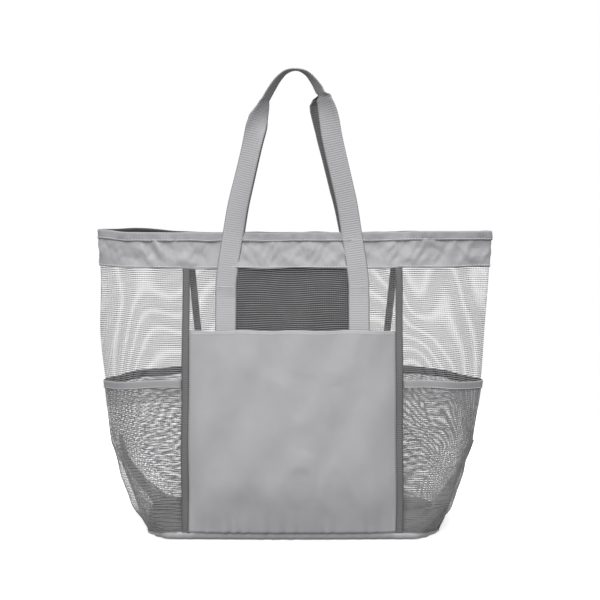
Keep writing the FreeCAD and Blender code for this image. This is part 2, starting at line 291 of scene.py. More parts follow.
def normal_at(q, z):
    normals = from_grid(WALL_NORMALS, q, z)
    return normals / np.linalg.norm(normals, axis=-1, keepdims=True)


def on_wall(q, z, out):
    """Points at a distance out from the wall, in front of it for out above 0."""
    q, z, out = np.broadcast_arrays(q, z, out)
    return from_grid(WALL, q, z) + normal_at(q, z) * out[..., None]


# ---- meshes

def new_mesh(name, points, faces, cloth=None, face_materials=None, materials=()):
    """A mesh object. cloth is each point's (q, z, out), which the materials read."""
    mesh = bpy.data.meshes.new(name)
    mesh.from_pydata(np.asarray(points).tolist(), [], [list(face) for face in faces])
    if cloth is not None:
        layer = mesh.attributes.new("cloth", "FLOAT_VECTOR", "POINT")
        layer.data.foreach_set("vector", np.asarray(cloth, np.float32).ravel())
    for material in materials:
        mesh.materials.append(material)
    if face_materials is not None:
        mesh.polygons.foreach_set("material_index", np.asarray(face_materials, np.int32))
    mesh.polygons.foreach_set("use_smooth", [True] * len(mesh.polygons))
    mesh.update()
    piece = bpy.data.objects.new(name, mesh)
    bpy.context.scene.collection.objects.link(piece)
    return piece


def grid_faces(rows, columns, start=0, wrap=False, flip=False):
    """Faces of a grid of points stored row by row. wrap joins the last column to the first."""
    last = columns if wrap else columns - 1
    i, j = np.meshgrid(np.arange(rows - 1), np.arange(last), indexing="ij")
    right = (j + 1) % columns
    corners = np.stack([i * columns + j, i * columns + right,
                        (i + 1) * columns + right, (i + 1) * columns + j], axis=-1).reshape(-1, 4) + start
    return corners[:, ::-1] if flip else corners


def tubes(centres, normals, cloth, across, deep, sides):
    """Closed tubes along each row of centres. across and deep are the half width and half thickness."""
    count, length = centres.shape[:2]
    along = np.gradient(centres, axis=1)
    along /= np.linalg.norm(along, axis=2, keepdims=True)
    side = np.cross(along, normals)
    side /= np.linalg.norm(side, axis=2, keepdims=True)
    face = np.cross(side, along)
    angles = 2 * math.pi * (np.arange(sides) + 0.5) / sides
    across, deep = (np.broadcast_to(value, (count, length))[..., None, None] for value in (across, deep))
    rings = (centres[:, :, None] + side[:, :, None] * np.cos(angles)[:, None] * across
             + face[:, :, None] * np.sin(angles)[:, None] * deep)
    points = rings.reshape(-1, 3)
    cloth = np.repeat(cloth[:, :, None], sides, axis=2).reshape(-1, 3)
    one = grid_faces(length, sides, wrap=True, flip=True)
    offsets = np.arange(count) * length * sides
    faces = (one[None] + offsets[:, None, None]).reshape(-1, 4).tolist()
    first = list(range(sides))
    last = [(length - 1) * sides + k for k in reversed(range(sides))]
    for shift in offsets.tolist():
        faces.append([k + shift for k in first])
        faces.append([k + shift for k in last])
    return points, faces, cloth


def yarns(q, z, out, width, depth, sides):
    """Tubes laid along rows of places on the wall."""
    return tubes(on_wall(q, z, out), normal_at(q, z), np.stack([q, z, out], -1), width / 2, depth / 2, sides)


def join_parts(parts):
    """One set of points, faces and cloth places from several."""
    points, faces, cloth, start = [], [], [], 0
    for part_points, part_faces, part_cloth in parts:
        points.append(part_points)
        cloth.append(part_cloth)
        faces.extend([[int(k) + start for k in face] for face in part_faces])
        start += len(part_points)
    return np.concatenate(points), faces, np.concatenate(cloth)


def net_part(q_at, width, z_low, z_high, out, drift_seed, gather=1.0):
    """The cross yarns and upright yarns of a net. q_at is a function of the share of the way across and
    z, z_high a function of that share, and out a function of q and z. Gathered cloth has closer yarns."""
    share = np.linspace(0.0, 1.0, int(width / YARN_STEP) + 2)
    tallest = float(np.max(z_high(share)))
    rows = int((tallest - z_low) * gather / WEFT_PITCH)
    row_share = ((np.arange(rows) + 0.5) / rows)[:, None]
    z = z_low + (z_high(share) - z_low) * row_share
    q = q_at(share, z)
    z = z + 0.0009 * ripple(q, z, drift_seed, (4, 14), (-8, 8))
    weft = yarns(q, z, out(q, z) + YARN_LIFT, WEFT_WIDTH, WEFT_DEPTH, 6)
    columns = int(width * gather / WARP_PITCH)
    across = ((np.arange(columns) + 0.5) / columns)[:, None]
    steps = int((tallest - z_low) / YARN_STEP) + 2
    z = z_low + (z_high(across) - z_low) * np.linspace(0, 1, steps)
    q = q_at(across, z) + 0.0005 * ripple(z, z, drift_seed + 1, (3, 9), (-5, 5))
    return [weft, yarns(q, z, out(q, z) - YARN_LIFT, WARP_WIDTH, WARP_DEPTH, 4)]


def between(q_range):
    return lambda share, z: q_range[0] + (q_range[1] - q_range[0]) * share + 0 * z


def net(name, parts):
    points, faces, cloth = join_parts(parts)
    return new_mesh(name, points, faces, cloth, materials=[net_yarn])


def strip(name, q, path, thickness, materials, turned=None):
    """A sheet of cloth swept round the bag. path(q) gives its (out, z) from edge to edge for each q.
    Its outer face is on the left of the path's direction seen from its low end, which is outward. From
    the path's place numbered turned, that face is on the inside of the bag and takes the last material."""
    q = np.asarray(q)
    line = path(q[:, None])
    out, z = (np.broadcast_to(part, (len(q), part.shape[-1])) for part in line)
    step_out, step_z = np.gradient(out, axis=1), np.gradient(z, axis=1)
    length = np.hypot(step_out, step_z)
    normal_out, normal_z = step_z / length, -step_out / length
    half = thickness / 2
    q_grid = np.broadcast_to(q[:, None], z.shape)
    sheets, cloth = [], []
    for sign in (1.0, -1.0):
        sheet_out = out + sign * half * normal_out
        sheet_z = z + sign * half * normal_z
        sheets.append(on_wall(q_grid, sheet_z, sheet_out).reshape(-1, 3))
        cloth.append(np.stack([q_grid, sheet_z, sheet_out], -1).reshape(-1, 3))
    rows, columns = z.shape
    count = rows * columns
    faces_out = grid_faces(rows, columns, flip=True)
    faces_in = faces_out[:, ::-1] + count
    index = np.arange(count).reshape(rows, columns)
    ring = list(index[:, 0]) + list(index[-1, 1:]) + list(index[-2::-1, -1]) + list(index[0, -2:0:-1])
    edges = [[a, a + count, b + count, b] for a, b in zip(ring, ring[1:] + ring[:1])]
    faces = faces_out.tolist() + faces_in.tolist() + [[int(k) for k in edge] for edge in edges]
    outer_materials = np.zeros((rows - 1, columns - 1), int)
    if turned is not None:
        outer_materials[:, turned:] = len(materials) - 1
    face_materials = outer_materials.ravel().tolist()
    face_materials += [len(materials) - 1] * len(faces_in) + [0] * len(edges)
    return new_mesh(name, np.concatenate(sheets), faces, np.concatenate(cloth), face_materials, materials)


def value(thing, *places):
    """A number as it is, or a function's value at the places."""
    return thing(*places) if callable(thing) else thing


def upright(out, z_low, z_high, rows):
    """A path for strip() that goes straight up. The ends may be functions of q, and out of q and z."""
    def path(q):
        low = value(z_low, q)
        z = low + (value(z_high, q) - low) * np.linspace(0.0, 1.0, rows) + 0 * q
        return value(out, q, z) + 0 * z, z
    return path


def stitches(name, lines, material, pitch=0.0032, length=0.0022, radius=0.00028):
    """Rows of short thread stitches. Each line is arrays of q, z and out along it."""
    sites = []
    for q, z, out in lines:
        q, z, out = (np.asarray(part, float) for part in np.broadcast_arrays(q, z, out))
        points = on_wall(q, z, out)
        run = np.concatenate([[0.0], np.cumsum(np.linalg.norm(np.diff(points, axis=0), axis=1))])
        starts = np.arange(pitch / 2, run[-1] - length, pitch)
        along = starts[:, None] + np.array([0.0, 0.2, 0.8, 1.0]) * length
        dip = np.array([-0.6, 0.7, 0.7, -0.6]) * radius
        sites.append((np.interp(along, run, q), np.interp(along, run, z), np.interp(along, run, out) + dip))
    q, z, out = (np.concatenate(part) for part in zip(*sites))
    points, faces, cloth = yarns(q, z, out, 2 * radius, 2 * radius, 5)
    return new_mesh(name, points, faces, cloth, materials=[material])


# ---- materials

def new_material(name):
    material = bpy.data.materials.new(name)
    material.use_nodes = True
    tree = material.node_tree
    tree.nodes.clear()
    output = tree.nodes.new("ShaderNodeOutputMaterial")
    shader = tree.nodes.new("ShaderNodeBsdfPrincipled")
    tree.links.new(shader.outputs["BSDF"], output.inputs["Surface"])
    return material, tree, shader


def math_node(tree, operation, first, second=None, third=None):
    node = tree.nodes.new("ShaderNodeMath")
    node.operation = operation
    for slot_index, value in enumerate((first, second, third)):
        if value is None:
            continue
        if isinstance(value, (int, float)):
            node.inputs[slot_index].default_value = value
        else:
            tree.links.new(value, node.inputs[slot_index])
    return node.outputs[0]


def mixed_colour(tree, factor, first, second):
    """A socket that goes from the first colour to the second. Each is a colour or a socket."""
    node = tree.nodes.new("ShaderNodeMix")
    node.data_type = "RGBA"
    tree.links.new(factor, node.inputs["Factor"])
    for name, colour in (("A", first), ("B", second)):
        if isinstance(colour, tuple):
            node.inputs[name].default_value = (*colour, 1.0)
        else:
            tree.links.new(colour, node.inputs[name])
    return node.outputs["Result"]


def cloth_places(tree):
    """Sockets with the cloth attribute, and with its q, z and out on their own, in metres."""
    attribute = tree.nodes.new("ShaderNodeAttribute")
    attribute.attribute_name = "cloth"
    split = tree.nodes.new("ShaderNodeSeparateXYZ")
    tree.links.new(attribute.outputs["Vector"], split.inputs[0])
    return attribute.outputs["Vector"], split.outputs[0], split.outputs[1], split.outputs[2]


def noise(tree, vector, scale, detail=4.0):
    node = tree.nodes.new("ShaderNodeTexNoise")
    node.inputs["Scale"].default_value = scale
    node.inputs["Detail"].default_value = detail
    tree.links.new(vector, node.inputs["Vector"])
    return node.outputs["Fac"]


def ramp(tree, value, dark, light, low=0.3, high=0.7):
    node = tree.nodes.new("ShaderNodeValToRGB")
    node.color_ramp.elements[0].position = low
    node.color_ramp.elements[1].position = high
    node.color_ramp.elements[0].color = (*dark, 1.0)
    node.color_ramp.elements[1].color = (*light, 1.0)
    tree.links.new(value, node.inputs[0])
    return node.outputs[0]


def bump(tree, shader, height, distance, strength=1.0):
    node = tree.nodes.new("ShaderNodeBump")
    node.inputs["Distance"].default_value = distance
    node.inputs["Strength"].default_value = strength
    tree.links.new(height, node.inputs["Height"])
    tree.links.new(node.outputs["Normal"], shader.inputs["Normal"])


def uneven_gloss(tree, shader, value, spread, roughness):
    level = math_node(tree, "MULTIPLY_ADD", value, spread, roughness - spread / 2)
    tree.links.new(level, shader.inputs["Roughness"])


def shade(colour, factor):
    return tuple(channel * factor for channel in colour)


def woven(name, colour, thread, roughness, spread=0.08, sheen=0.0, depth=0.00006):
    """Plain-woven cloth: a fine weave, soft mottling and slightly uneven gloss."""
    material, tree, shader = new_material(name)
    vector, q, z, _ = cloth_places(tree)
    patches = noise(tree, vector, 26.0)
    tree.links.new(ramp(tree, patches, shade(colour, 1 - spread), shade(colour, 1 + spread)),
                   shader.inputs["Base Color"])
    across = math_node(tree, "SINE", math_node(tree, "MULTIPLY", q, 2 * math.pi / thread))
    upward = math_node(tree, "SINE", math_node(tree, "MULTIPLY", z, 2 * math.pi / thread))
    weave = math_node(tree, "MULTIPLY", across, upward)
    grain = math_node(tree, "MULTIPLY", noise(tree, vector, 420.0, 2.0), 1.4)
    bump(tree, shader, math_node(tree, "ADD", weave, grain), depth)
    uneven_gloss(tree, shader, patches, 0.16, roughness)
    shader.inputs["Sheen Weight"].default_value = sheen
    return material


def yarn(name, colour, roughness=0.55, twist=0.0011):
    """Yarn of the nets, thread and webbing: a slant of twisted filaments with small colour changes."""
    material, tree, shader = new_material(name)
    vector, q, z, _ = cloth_places(tree)
    patches = noise(tree, vector, 60.0)
    tree.links.new(ramp(tree, patches, shade(colour, 0.9), shade(colour, 1.1)), shader.inputs["Base Color"])
    slant = math_node(tree, "ADD", q, z)
    filaments = math_node(tree, "SINE", math_node(tree, "MULTIPLY", slant, 2 * math.pi / twist))
    bump(tree, shader, filaments, 0.00005)
    uneven_gloss(tree, shader, patches, 0.2, roughness)
    return material


def ribbed(name, colour, rib, roughness=0.7, spread=0.1, inside=1.0):
    """Grosgrain and webbing: close ribs across the strip, with painted shade in the lines between them.
    inside is the painted shade of the strip's inner face, a factor on its colour, where the cloth attribute's
    third part is below 0."""
    material, tree, shader = new_material(name)
    vector, _, z, out = cloth_places(tree)
    wave = math_node(tree, "SINE", math_node(tree, "MULTIPLY", z, 2 * math.pi / rib))
    fine = noise(tree, vector, 500.0, 2.0)
    mixed = math_node(tree, "ADD", math_node(tree, "MULTIPLY", wave, 0.28), fine)
    # Rib grooves coloured darker than the rib tops: painted shade, mixed with the noise's random grain
    outer = ramp(tree, mixed, shade(colour, 1 - spread), shade(colour, 1 + spread), 0.2, 0.8)
    # The inner face, where out is below 0, takes inside times the colour: painted shade
    face = math_node(tree, "MULTIPLY_ADD", out, 1000.0, 0.5)
    tree.links.new(mixed_colour(tree, face, shade(colour, inside), outer), shader.inputs["Base Color"])
    bump(tree, shader, mixed, 0.00012)
    uneven_gloss(tree, shader, fine, 0.2, roughness)
    return material


NYLON = (0.34, 0.34, 0.35)
# Near-black of the cloth's inner faces: partly a dark lining, partly painted shade of the bag's inside
LINING_AND_PAINTED_SHADE = (0.032, 0.032, 0.033)
YARN = (0.30, 0.30, 0.305)
TAPE = (0.12, 0.12, 0.122)
WEBBING = (0.35, 0.35, 0.36)

nylon = woven("nylon", NYLON, 0.0009, 0.42, 0.04, 0.1)
# The nylon at 0.80 of its tone: the darker hem and bindings are painted shade
binding_nylon_painted_shade = woven("binding_nylon_painted_shade", shade(NYLON, 0.80), 0.0008, 0.55, 0.06, 0.1)
# The inner faces' colour: a dark lining with painted shade of the bag's inside
lining = woven("lining", LINING_AND_PAINTED_SHADE, 0.0009, 0.6, 0.2)
net_yarn = yarn("net_yarn", YARN)
thread = yarn("thread", shade(NYLON, 1.9), 0.45)
dark_thread = yarn("dark_thread", shade(TAPE, 0.8), 0.5)
tape_cloth = ribbed("tape_cloth", TAPE, TAPE_RIB_PITCH)
# 0.3 is painted shade on the webbing's inner face, the same cloth as its outer face
webbing_cloth = ribbed("webbing_cloth", WEBBING, RIB_PITCH, 0.65, 0.035, 0.3)

# ---- nets

YARN_STEP = 0.006
WEFT_PITCH = 0.00250
WEFT_WIDTH = 0.00068
WEFT_DEPTH = 0.00056
WARP_PITCH = 0.0021
WARP_WIDTH = 0.00022
WARP_DEPTH = 0.00024
YARN_LIFT = 0.00016
PLEAT_WIDTH = 0.034
PLEAT_TOP = APEX_HEIGHT
PLEAT_STEP = 0.0013
PLEAT_GATHER = 2.2
LEFT_POCKET_GATHER = 1.5
RIGHT_POCKET_GATHER = 1.9
NET_LOW = 0.0012
NET_TOP = BAND_BOTTOM + 0.003

SIDE_POCKET_START = FRONT_SEAM_Q + TAPE_WIDTH / 2
SIDE_POCKET_END = BACK_SEAM_Q - TAPE_WIDTH / 2
SIDE_POCKET_GAP = 0.010
SIDE_POCKET_DIP = 0.007
POCKET_EDGE = SEAM_X - TAPE_WIDTH / 2
POCKET_SWELL = 0.0115


def mirrored_q(q_range):
    """The same stretch of cloth on the left half of the bag."""
    return GIRTH - q_range[1], GIRTH - q_range[0]


RIGHT_POCKET_Q = (SIDE_POCKET_START, SIDE_POCKET_END)
LEFT_POCKET_Q = mirrored_q(RIGHT_POCKET_Q)


HEIGHTS = np.arange(0.0, RIM, WALL_STEP)
RUNS = np.array([along_outline(side_outline(z)) for z in HEIGHTS])


def crease_q(z, corner):
    """q of a corner of the side outline: 2 is the front crease, 3 the back one, 4 the soft corner behind."""
    return FRONT_SEAM_Q + SIDE_WIDTH * np.interp(z, HEIGHTS, RUNS[:, corner])


def side_lobe(q, z):
    """0 at the tapes and between the creases, and 1 midway, on both halves of a side panel."""
    place = folded_q(q)
    front = (place - SIDE_POCKET_START) / (crease_q(z, 2) - SIDE_POCKET_START)
    back = (SIDE_POCKET_END - place) / (SIDE_POCKET_END - crease_q(z, 3))
    share = np.clip(np.where(place < RIDGE_Q, front, back), 0.0, 1.0)
    return np.sin(math.pi * share) ** 0.8


def side_share(q):
    return np.clip((folded_q(q) - SIDE_POCKET_START) / (SIDE_POCKET_END - SIDE_POCKET_START), 0.0, 1.0)


def side_pocket_top(share):
    """The pocket's top edge dips where it goes round the ridge."""
    return SIDE_POCKET_TOP - 0.0015 - SIDE_POCKET_DIP * np.sin(math.pi * share) ** 2


def side_pocket_out(q, z):
    lobe, above_seam = side_lobe(q, z), smooth_step(z, 0.003, 0.016)
    waves = np.maximum(0.0011 * ripple(q, z, 21, (9, 26), (-14, 14)) * lobe, -0.001)
    swell = SIDE_POCKET_GAP * lobe * smooth_step(z, -0.03, 0.1) + waves
    return NET_OUT + 0.0006 + (POCKET_OUT - NET_OUT - 0.0009 + swell) * above_seam


def flat_top(height):
    return lambda share: height + 0 * share


def wall_net(q, z):
    return NET_OUT + 0 * q * z


def panel_net(name, q_range, seed):
    parts = net_part(between(q_range), q_range[1] - q_range[0], NET_LOW, flat_top(NET_TOP), wall_net, seed)
    return net(name, parts)


# Edges of the left pleat: height, and shares of the way from the back crease to the soft corner behind it
LEFT_PLEAT = [
    (0.0, 0.25, 0.95), (0.013, 0.22, 0.95), (0.035, 0.25, 0.95), (0.058, 0.24, 0.74), (0.077, 0.30, 0.60),
    (APEX_HEIGHT, 0.45, 0.53),
]


def left_pleat_q(share, z):
    """The cloth folded over on itself behind the left back crease."""
    heights, near, far = zip(*LEFT_PLEAT)
    crease, corner = crease_q(z, 3), crease_q(z, 4)
    along = np.interp(z, heights, near) * (1 - share) + np.interp(z, heights, far) * share
    return GIRTH - crease - (corner - crease) * along


def right_pleat_q(share, z):
    """On the right the folded cloth lies between the front and back creases, and a little behind them."""
    return crease_q(z, 2) * (1 - share) + (crease_q(z, 3) + 0.005) * share


def pocket_net(name, left, seed):
    """A side pocket's net, with the pleat that takes up its fullness at the back corner of the base."""
    q_range, pleat_q, gather = RIGHT_POCKET_Q, right_pleat_q, RIGHT_POCKET_GATHER
    if left:
        q_range, pleat_q, gather = LEFT_POCKET_Q, left_pleat_q, LEFT_POCKET_GATHER
    parts = net_part(between(q_range), q_range[1] - q_range[0], NET_LOW, side_pocket_top, side_pocket_out,
                     seed, gather)
    for fold in (1, 2):
        def out(q, z, lift=PLEAT_STEP * fold):
            return side_pocket_out(q, z) + lift
        parts += net_part(pleat_q, PLEAT_WIDTH, NET_LOW, flat_top(PLEAT_TOP), out, seed + 3 * fold,
                          PLEAT_GATHER)
    return net(name, parts)


def make_nets():
    side = (FRONT_SEAM_Q, BACK_SEAM_Q)
    return (panel_net("front_net", (-FRONT_SEAM_Q, FRONT_SEAM_Q), 101),
            panel_net("back_net", (BACK_SEAM_Q, GIRTH - BACK_SEAM_Q), 104),
            panel_net("right_side_net", side, 107), panel_net("left_side_net", mirrored_q(side), 110),
            pocket_net("right_pocket_net", False, 120), pocket_net("left_pocket_net", True, 130))


# ---- solid cloth

WHOLE_ROUND = (GIRTH / 2, 3 * GIRTH / 2)


def spaced(q_range, step=0.003):
    count = int(abs(q_range[1] - q_range[0]) / step) + 2
    return np.linspace(q_range[0], q_range[1], count)


def band_out(q, z):
    """The band is crumpled, but lies flat under the straps and its sewn edges."""
    under_strap = np.exp(-((folded_q(q) - STRAP_X) / 0.017) ** 2) + np.exp(
        -((GIRTH / 2 - folded_q(q) - STRAP_X) / 0.017) ** 2)
    middle = smooth_step(z, BAND_BOTTOM - 0.004, BAND_BOTTOM + 0.012) * (1 - 0.8 * smooth_step(z, 0.34, RIM))
    depth = 0.0015 * middle * np.clip(1 - 0.85 * under_strap, 0, 1)
    return BAND_OUT + 0.0004 + depth * (crumple(q, z, 61, 0.030) + 0.3 * crumple(q, z, 67, 0.011))


def make_bands():
    rows = 30
    high = RIM - 0.003

    def low(q):
        return BAND_BOTTOM - 0.0008 + 0.0007 * ripple(q, 0 * q, 71, (3, 14), (0, 0))
    path = upright(band_out, low, high, rows)
    halves = (("front_band", (-RIDGE_Q, RIDGE_Q)), ("back_band", (RIDGE_Q, GIRTH - RIDGE_Q)))
    return [strip(name, spaced(q_range, 0.0018), path, CLOTH_THICKNESS, [nylon, lining])
            for name, q_range in halves]


FOLD_ROWS = 7
FOLD_TURN_STEPS = 7
FOLD_MIDDLE = FOLD_ROWS + FOLD_TURN_STEPS // 2 - 1
FOLD_RADIUS = 0.0012


def fold_over(outer, inner, bottom_outer, bottom_inner, top):
    """A path for strip() that goes up the outside, over an edge, and down the inside. bottom and top
    may be functions of q, and outer and inner functions of q and z."""
    def path(q):
        radius_z = value(top, q) - FOLD_RADIUS
        share = np.linspace(0, 1, FOLD_ROWS)
        up = value(bottom_outer, q) + (radius_z - value(bottom_outer, q)) * share + 0 * q
        down = radius_z + (value(bottom_inner, q) - radius_z) * share + 0 * q
        out_up, out_down = value(outer, q, up) + 0 * up, value(inner, q, down) + 0 * down
        turn = np.linspace(0, math.pi, FOLD_TURN_STEPS)[1:-1]
        mid = (out_up[:, -1:] + out_down[:, :1]) / 2
        reach = (out_up[:, -1:] - out_down[:, :1]) / 2
        over_out = mid + reach * np.cos(turn)
        over_z = radius_z + FOLD_RADIUS * np.sin(turn) + 0 * q
        return (np.concatenate([out_up, over_out, out_down], 1), np.concatenate([up, over_z, down], 1))
    return path


def make_mouth_binding():
    """A strip folded over the rim. Its edge is rolled, so it catches the light. Its cloth is a darker copy of
    the nylon, painted shade.
    """
    def outer(q, z):
        uneven = 0.0002 * ripple(q, z, 31, (30, 70), (-6, 6)) + 0.0003 * crumple(q, z, 33, 0.016)
        return band_out(q, z) + CLOTH_THICKNESS + 0.0006 + uneven

    path = fold_over(outer, 0.0004, HEM_BOTTOM, HEM_BOTTOM + 0.002, RIM)
    return strip("rim_binding", spaced(WHOLE_ROUND, 0.002), path, CLOTH_THICKNESS, [binding_nylon_painted_shade, lining],
                 FOLD_MIDDLE)


def pocket_out(q, z):
    """The front pocket stands off the wall in its middle, with soft upright folds."""
    share = np.clip(np.abs(q) / POCKET_EDGE, 0.0, 1.0)
    swell = (1 - share ** 6) * smooth_step(z, BASE_RIM - 0.025, BASE_RIM + 0.065)
    folds = 0.0004 * ripple(q, z, 41, (6, 20), (-8, 8)) + 0.0006 * crumple(q, z, 45, 0.11)
    folds = folds * (1 - share ** 4) * smooth_step(z, BASE_RIM, 0.05)
    puckers = 0.0007 * ripple(q, z, 43, (60, 110), (-3, 3)) * np.exp(-(z - BASE_RIM) / 0.009)
    return POCKET_OUT + POCKET_SWELL * swell + folds + puckers * (1 - share ** 8)


def make_front_pocket():
    q = spaced((-POCKET_EDGE, POCKET_EDGE), 0.0025)
    body_rows = 80

    def path(q):
        top = POCKET_TOP - 0.0008
        up = BASE_RIM + 0.0007 + (top - BASE_RIM - 0.0007) * np.linspace(0, 1, body_rows) + 0 * q
        out_up = pocket_out(q, up)
        turn = np.linspace(0, math.pi, 6)[1:]
        over_out = pocket_out(q, top + 0 * q) - 0.0008 + 0.0008 * np.cos(turn)
        over_z = top + 0.0008 * np.sin(turn) + 0 * q
        down = top - np.linspace(0.001, 0.005, 4) + 0 * q
        out_down = pocket_out(q, down) - 0.0016
        return (np.concatenate([out_up, over_out, out_down], 1), np.concatenate([up, over_z, down], 1))
    return strip("front_pocket", q, path, CLOTH_THICKNESS, [nylon, lining])


def inner_pocket_out(q, z):
    half = inner_high.x
    share = np.clip(np.abs(q) / half, 0.0, 1.0)
    return -0.0011 - 0.0085 * (1 - share ** 6) * smooth_step(z, inner_low.z, inner_low.z + 0.02)


def make_inner_pocket():
    q = spaced((inner_low.x, inner_high.x), 0.004)
    return strip("inner_pocket", q, upright(inner_pocket_out, inner_low.z, inner_high.z, 46),
                 CLOTH_THICKNESS, [lining])


def make_side_bindings():
    made = []
    width = SIDE_POCKET_TOP - SIDE_BINDING_BOTTOM

    def outer(q, z):
        return side_pocket_out(q, z) + SIDE_BINDING_OUT

    def inner(q, z):
        return side_pocket_out(q, z) - 0.0010

    def bottom(q):
        return side_pocket_top(side_share(q)) - width + 0.001

    def top(q):
        return side_pocket_top(side_share(q)) + 0.0014
    path = fold_over(outer, inner, bottom, bottom, top)
    # The bindings' darker cloth is painted shade
    for name, q_range in (("right_pocket_binding", RIGHT_POCKET_Q), ("left_pocket_binding", LEFT_POCKET_Q)):
        made.append(strip(name, spaced(q_range), path, CLOTH_THICKNESS, [binding_nylon_painted_shade, lining], FOLD_MIDDLE))
    return made


def tape_out(q, z):
    return TAPE_OUT + 0.00015 * np.cos(2 * math.pi * z / TAPE_RIB_PITCH)


def make_tapes():
    made = []
    for name, seam in (("front_right_tape", FRONT_SEAM_Q), ("front_left_tape", -FRONT_SEAM_Q),
                       ("back_right_tape", BACK_SEAM_Q), ("back_left_tape", -BACK_SEAM_Q)):
        q = seam + np.linspace(-0.5, 0.5, 7) * TAPE_WIDTH
        made.append(strip(name, q, upright(tape_out, BASE_RIM, BAND_BOTTOM + 0.001, 560),
                          0.0008, [tape_cloth]))
    return made


PATCH_OUT = -0.0009
PATCH_THICKNESS = 0.0012


def make_patches():
    made = []
    for name, middle, turn in (("front_patch", 0.0, 1.0), ("back_patch", GIRTH / 2, -1.0)):
        q = spaced(sorted((middle + turn * patch_low.x, middle + turn * patch_high.x)), 0.003)
        path = upright(PATCH_OUT, patch_low.z, patch_high.z, 12)
        made.append(strip(name, q, path, PATCH_THICKNESS, [lining]))
    return made


BASE_CORNER_Q = 0.180
BASE_CLOTH_THICKNESS = 0.0009
BASE_UNDERSIDE = 0.0005
UNDERSIDE_RINGS = (0.985, 0.95, 0.88, 0.78, 0.64, 0.48, 0.30, 0.12)


def make_base():
    """The base cloth: a flat bottom that turns up to its seam, lighter outside than inside, where its
    near-black is partly painted shade. Its edge is lower at the base's corners and higher behind the front
    pocket."""
    q = np.linspace(0, GIRTH, 300, endpoint=False) + GIRTH / 2
    near_corner = np.exp(-((np.minimum(folded_q(q), GIRTH / 2 - folded_q(q)) - BASE_CORNER_Q) / 0.018) ** 2)
    behind_pocket = 0.0032 * (1 - smooth_step(folded_q(q), POCKET_EDGE - 0.006, POCKET_EDGE - 0.001))
    top = BASE_RIM + 0.0008 + 0.0004 * ripple(q, 0 * q, 53, (3, 12), (0, 0))
    top = top - 0.0060 * near_corner + behind_pocket
    belly = 0.0008 * (1 - near_corner) + 0.0003 * ripple(q, 0 * q, 55, (30, 80), (0, 0))
    profile = [(0.0022, 1.0), (0.0024 + belly, 0.74), (0.0026 + belly, 0.42), (0.0020 + belly / 2, 0.20),
               (-0.0002, 0.05)]
    layers = []
    for side in (0.0, BASE_CLOTH_THICKNESS):
        rows = [on_wall(q, top * share + side * 0.4, out - side + 0 * q) for out, share in profile]
        rim = on_wall(q, BASE_UNDERSIDE + 0 * q, -0.003 + 0 * q)
        for share in UNDERSIDE_RINGS:
            row = rim * np.array([share, share, 1.0])
            sag = 0.0009 * (1 - share) * (1 + ripple(q, share + 0 * q, 51, (2, 7), (-2, 2)))
            row[:, 2] = BASE_UNDERSIDE + side + sag * (1 - share)
            rows.append(row)
        layers.append(np.stack(rows))
    rows, columns = layers[0].shape[:2]
    count = rows * columns
    outer_faces = grid_faces(rows, columns, wrap=True, flip=True)
    inner_faces = grid_faces(rows, columns, start=count, wrap=True)
    faces = outer_faces.tolist() + inner_faces.tolist()
    indices = [0] * len(outer_faces) + [1] * len(inner_faces)
    for k in range(columns):
        following = (k + 1) % columns
        faces.append([k, following, following + count, k + count])
        indices.append(0)
    last = (rows - 1) * columns
    faces.append([last + k for k in reversed(range(columns))])
    faces.append([last + count + k for k in range(columns)])
    indices += [0, 1]
    points = np.concatenate([layer.reshape(-1, 3) for layer in layers])
    return new_mesh("base_cloth", points, faces, points, indices, [nylon, lining])


BASE_BINDING_OUT = -0.0026
BASE_BINDING_ENDS = (0.0035, 0.0130)


def make_base_binding():
    path = upright(BASE_BINDING_OUT, *BASE_BINDING_ENDS, 6)
    return strip("base_binding", spaced(WHOLE_ROUND, 0.004), path, BASE_CLOTH_THICKNESS, [tape_cloth])


# ---- handles

# The handle's centre line from right to left: x, y, z and the twist of its flat side in degrees.
# The twist changes fast at the creases below the arch, where the webbing folds over.
HANDLE_ROUTE = [
    (0.0795, -0.0264, 0.2992, 0), (0.0773, -0.0233, 0.3200, 0), (0.0706, -0.0172, 0.3630, 0),
    (0.0652, -0.0158, 0.3966, 0), (0.0587, -0.0155, 0.4250, 0), (0.0519, -0.0152, 0.4535, 2),
    (0.0459, -0.0150, 0.4810, 6), (0.0435, -0.0148, 0.4960, 14), (0.0405, -0.0147, 0.5100, 30),
    (0.0383, -0.0147, 0.5175, 42), (0.0365, -0.0147, 0.5225, 48), (0.0357, -0.0147, 0.5242, 62),
    (0.0315, -0.0146, 0.5315, 67), (0.0250, -0.0145, 0.5415, 74), (0.0165, -0.0145, 0.5505, 82),
    (0.0050, -0.0145, 0.5546, 90), (-0.0070, -0.0145, 0.5520, 84), (-0.0160, -0.0145, 0.5440, 77),
    (-0.0235, -0.0146, 0.5335, 72), (-0.0300, -0.0146, 0.5225, 70), (-0.0314, -0.0146, 0.5200, 70),
    (-0.0325, -0.0146, 0.5172, 64), (-0.0350, -0.0147, 0.5098, 52), (-0.0386, -0.0148, 0.5010, 34),
    (-0.0416, -0.0149, 0.4920, 14), (-0.0441, -0.0150, 0.4830, -6), (-0.0468, -0.0150, 0.4720, -17),
    (-0.0512, -0.0152, 0.4535, -21), (-0.0580, -0.0155, 0.4250, -17), (-0.0648, -0.0158, 0.3966, -9),
    (-0.0706, -0.0172, 0.3630, 0), (-0.0773, -0.0233, 0.3200, 0), (-0.0795, -0.0264, 0.2992, 0),
]
